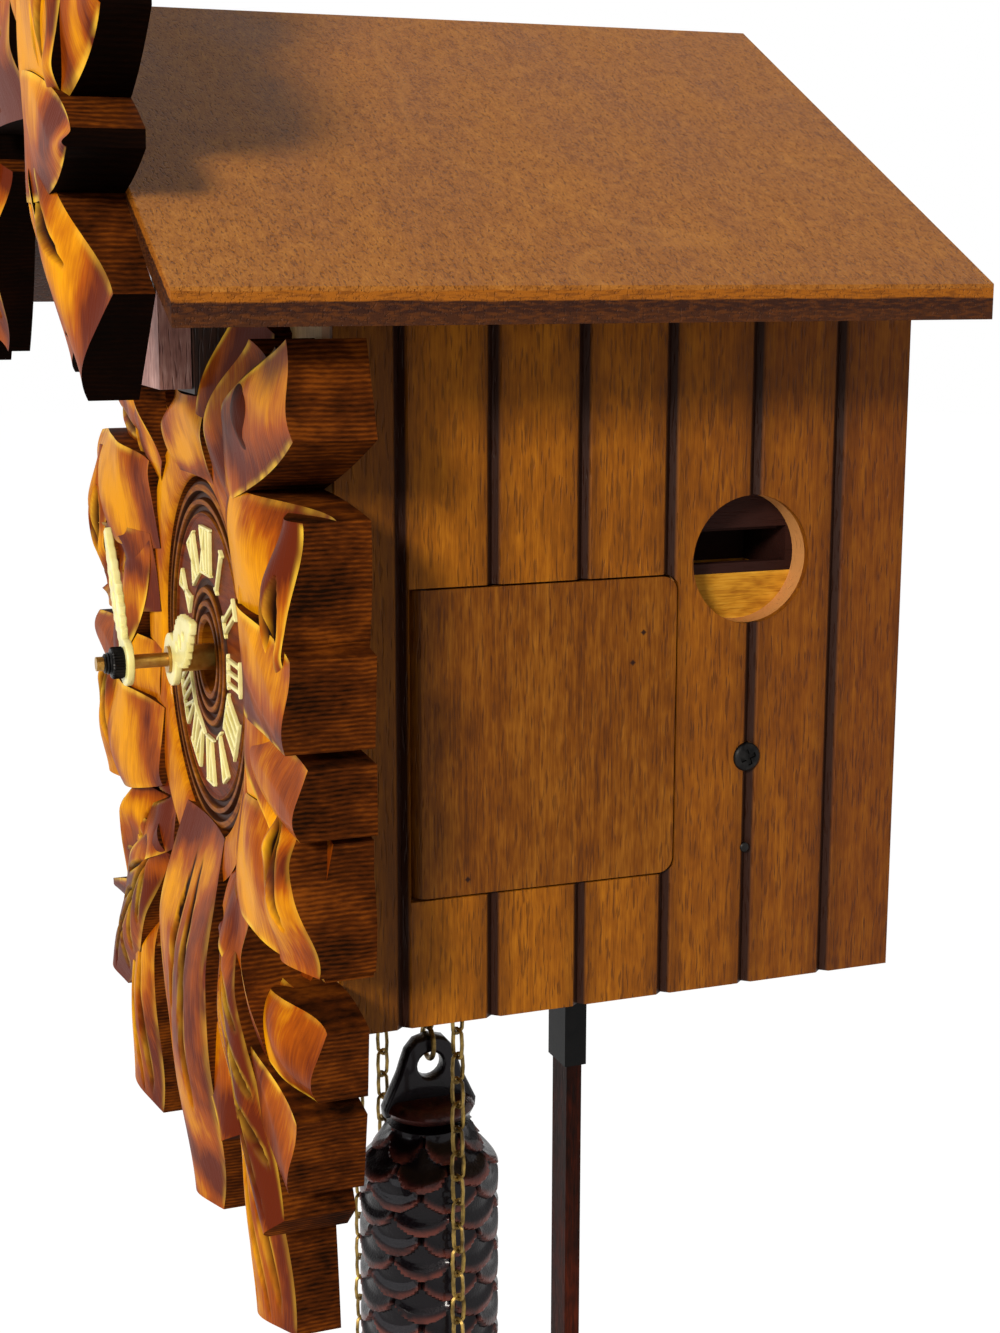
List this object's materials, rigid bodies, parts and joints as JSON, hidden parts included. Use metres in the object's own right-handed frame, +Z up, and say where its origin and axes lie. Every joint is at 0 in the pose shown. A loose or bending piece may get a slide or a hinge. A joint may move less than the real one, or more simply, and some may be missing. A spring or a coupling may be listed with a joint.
{
  "type": "cuckoo clock",
  "caption": "House-shaped wall cuckoo clock with a carved leaf front, chain-driven movement, pendulum, cone weights and opening side doors.",
  "frame": {"origin": "centre of the hook hole in the hanger plate, on the wall plane", "axes": "+X to the viewer's right, +Y into the wall, +Z up"},
  "size_m": [0.2032, 0.1694, 0.5109],
  "materials": {
    "case_ply": "stained plywood with a satin varnish",
    "roof_ply": "stained plywood with a satin varnish",
    "carved_wood": "carved lime wood, amber stain and gloss varnish",
    "dial_wood": "turned wood, red brown stain",
    "plain_wood": "bare softwood",
    "cream_plastic": "moulded cream plastic",
    "door_wood": "plum coloured wood",
    "brass": "plain brass",
    "antique_brass": "antique brass chain",
    "steel": "drawn steel wire",
    "black_steel": "blackened steel",
    "iron": "cast iron, dark bronze paint",
    "rod_wood": "dark stained wood",
    "black_plastic": "black moulding",
    "cloth": "thin bellows cloth",
    "bird_paint": "painted wood"
  },
  "bodies": {
    "case": {"back_gable": "case_ply", "back_panel": "plain_wood", "bellows_bases": "plain_wood", "bellows_cloth_left": "cloth", "bellows_cloth_right": "cloth", "bottom_board": "case_ply", "carved_frame": "carved_wood", "crown": "carved_wood", "dial_disc": "dial_wood", "door_surround": "dial_wood", "front_board": "case_ply", "glue_blocks": "plain_wood", "gong": "steel", "hanger_plate": "steel", "hinge_pins": "steel", "movement_back_plate": "brass", "movement_brackets": "steel", "movement_front_plate": "brass", "movement_pillars": "brass", "numerals": "cream_plastic", "roof_panel_left": "roof_ply", "roof_panel_right": "roof_ply", "side_panel_left": "case_ply", "side_panel_right": "case_ply", "whistles": "plain_wood", "wood_screws": "black_steel"},
    "minute": {"minute_hand": "cream_plastic", "hand_nut": "antique_brass", "centre_wheel": "brass"},
    "hour": {"hour_hand": "cream_plastic", "hour_wheel": "brass"},
    "minute_gear": {"minute_wheel": "brass"},
    "great": {"time_great_wheel": "brass"},
    "third": {"third_wheel": "brass"},
    "escape": {"escape_wheel": "brass"},
    "anchor_arbor": {"anchor": "steel"},
    "pendulum": {"pendulum_leader": "steel", "pendulum_rod": "rod_wood", "pendulum_cap": "black_plastic"},
    "bob": {"pendulum_bob": "carved_wood"},
    "time_wheel": {"time_sprocket": "brass"},
    "strike_wheel": {"strike_sprocket": "brass"},
    "time_load": {"time_weight_chain": "antique_brass", "time_weight": "iron"},
    "time_pull": {"time_pull_chain": "antique_brass"},
    "strike_load": {"strike_weight_chain": "antique_brass", "strike_weight": "iron"},
    "strike_pull": {"strike_pull_chain": "antique_brass"},
    "strike_great": {"strike_great_wheel": "brass"},
    "pins": {"pin_wheel": "brass"},
    "fly_arbor": {"fly": "brass"},
    "bird": {"cuckoo_bird": "bird_paint", "bird_carriage": "steel"},
    "bird_door": {"cuckoo_door": "door_wood"},
    "bellows_right": {"bellows_top_right": "plain_wood"},
    "bellows_left": {"bellows_top_left": "plain_wood"},
    "hammer": {"gong_hammer": "steel"},
    "door_right": {"side_door_right": "case_ply"},
    "door_left": {"side_door_left": "case_ply"},
    "latch": {"door_latch_wire": "steel"}
  },
  "joints": [
    {"name": "minute_turn", "type": "hinge", "parent": "case", "child": "minute", "pos_m": [0, -0.1187, -0.0885], "axis": [0, 1, 0], "continuous": true},
    {"name": "hour_turn", "type": "hinge", "parent": "case", "child": "hour", "pos_m": [0, -0.1187, -0.0885], "axis": [0, 1, 0], "continuous": true},
    {"name": "minute_gear_turn", "type": "hinge", "parent": "case", "child": "minute_gear", "pos_m": [-0.01018, -0.0987, -0.09868], "axis": [0, 1, 0], "continuous": true},
    {"name": "great_turn", "type": "hinge", "parent": "case", "child": "great", "pos_m": [0.026, -0.0777, -0.09559], "axis": [0, 1, 0], "continuous": true},
    {"name": "third_turn", "type": "hinge", "parent": "case", "child": "third", "pos_m": [-0.01201, -0.0907, -0.07313], "axis": [0, 1, 0], "continuous": true},
    {"name": "escape_turn", "type": "hinge", "parent": "case", "child": "escape", "pos_m": [0, -0.0747, -0.06226], "axis": [0, 1, 0], "continuous": true},
    {"name": "pendulum_swing", "type": "hinge", "parent": "case", "child": "pendulum", "pos_m": [0, -0.0427, -0.04776], "axis": [0, 1, 0], "range_deg": [-5, 5]},
    {"name": "anchor_rock", "type": "hinge", "parent": "case", "child": "anchor_arbor", "pos_m": [0, -0.0427, -0.04776], "axis": [0, 1, 0], "range_deg": [-5, 5]},
    {"name": "bob_slide", "type": "slide", "parent": "pendulum", "child": "bob", "axis": [0, 0, 1], "range_m": [-0.01, 0.01]},
    {"name": "time_weight_travel", "type": "slide", "parent": "case", "child": "time_load", "axis": [0, 0, 1], "range_m": [-0.015, 0.012]},
    {"name": "time_pull_travel", "type": "slide", "parent": "case", "child": "time_pull", "axis": [0, 0, 1], "range_m": [-0.015, 0.015]},
    {"name": "time_wheel_turn", "type": "hinge", "parent": "case", "child": "time_wheel", "pos_m": [0.026, -0.0832, -0.09559], "axis": [0, 1, 0], "range_deg": [-95, 95]},
    {"name": "strike_weight_travel", "type": "slide", "parent": "case", "child": "strike_load", "axis": [0, 0, 1], "range_m": [-0.015, 0.015]},
    {"name": "strike_pull_travel", "type": "slide", "parent": "case", "child": "strike_pull", "axis": [0, 0, 1], "range_m": [-0.015, 0.015]},
    {"name": "strike_wheel_turn", "type": "hinge", "parent": "case", "child": "strike_wheel", "pos_m": [-0.026, -0.0832, -0.09559], "axis": [0, 1, 0], "range_deg": [-95, 95]},
    {"name": "strike_turn", "type": "hinge", "parent": "case", "child": "strike_great", "pos_m": [-0.026, -0.0729, -0.09559], "axis": [0, 1, 0], "continuous": true},
    {"name": "pin_wheel_turn", "type": "hinge", "parent": "case", "child": "pins", "pos_m": [-0.03062, -0.0729, -0.0694], "axis": [0, 1, 0], "continuous": true},
    {"name": "fly_turn", "type": "hinge", "parent": "case", "child": "fly_arbor", "pos_m": [-0.02161, -0.0729, -0.05498], "axis": [0, 1, 0], "continuous": true},
    {"name": "bird_slide", "type": "slide", "parent": "case", "child": "bird", "axis": [0, -1, 0], "range_m": [0, 0.03]},
    {"name": "cuckoo_door_swing", "type": "hinge", "parent": "case", "child": "bird_door", "pos_m": [-0.017, -0.1333, -0.014], "axis": [0, 0, -1], "range_deg": [0, 86]},
    {"name": "bellows_right_lift", "type": "hinge", "parent": "case", "child": "bellows_right", "pos_m": [0.0494, -0.0147, -0.036], "axis": [-1, 0, 0], "range_deg": [0, 15], "deforming": ["bellows_cloth_right"]},
    {"name": "bellows_left_lift", "type": "hinge", "parent": "case", "child": "bellows_left", "pos_m": [-0.0494, -0.0147, -0.036], "axis": [-1, 0, 0], "range_deg": [0, 15], "deforming": ["bellows_cloth_left"]},
    {"name": "gong_hammer_swing", "type": "hinge", "parent": "case", "child": "hammer", "pos_m": [0.0325, -0.009, -0.056], "axis": [0, 1, 0], "range_deg": [-15, 0]},
    {"name": "side_door_right_swing", "type": "hinge", "parent": "case", "child": "door_right", "pos_m": [0.06595, -0.10105, -0.095], "axis": [0, 0, -1], "range_deg": [0, 90]},
    {"name": "side_door_left_swing", "type": "hinge", "parent": "case", "child": "door_left", "pos_m": [-0.06595, -0.10105, -0.095], "axis": [0, 0, 1], "range_deg": [0, 90]},
    {"name": "latch_turn", "type": "hinge", "parent": "case", "child": "latch", "pos_m": [0.0188, -0.1317, -0.001], "axis": [0, 1, 0], "range_deg": [0, 90]}
  ],
  "couplings": [
    {"joint": "hour_turn", "follows": "minute_turn", "ratio": 0.083333},
    {"joint": "minute_gear_turn", "follows": "minute_turn", "ratio": -0.33333},
    {"joint": "great_turn", "follows": "minute_turn", "ratio": -0.16667},
    {"joint": "third_turn", "follows": "minute_turn", "ratio": -12},
    {"joint": "escape_turn", "follows": "minute_turn", "ratio": 132},
    {"joint": "anchor_rock", "follows": "pendulum_swing", "ratio": 1},
    {"joint": "time_pull_travel", "follows": "time_weight_travel", "ratio": -1},
    {"joint": "time_wheel_turn", "follows": "time_weight_travel", "rad_per_m": 105.26},
    {"joint": "strike_pull_travel", "follows": "strike_weight_travel", "ratio": -1},
    {"joint": "strike_wheel_turn", "follows": "strike_weight_travel", "rad_per_m": -105.26},
    {"joint": "pin_wheel_turn", "follows": "strike_turn", "ratio": -6.6},
    {"joint": "fly_turn", "follows": "strike_turn", "ratio": 49.5},
    {"joint": "cuckoo_door_swing", "follows": "bird_slide", "rad_per_m": 49.451}
  ]
}
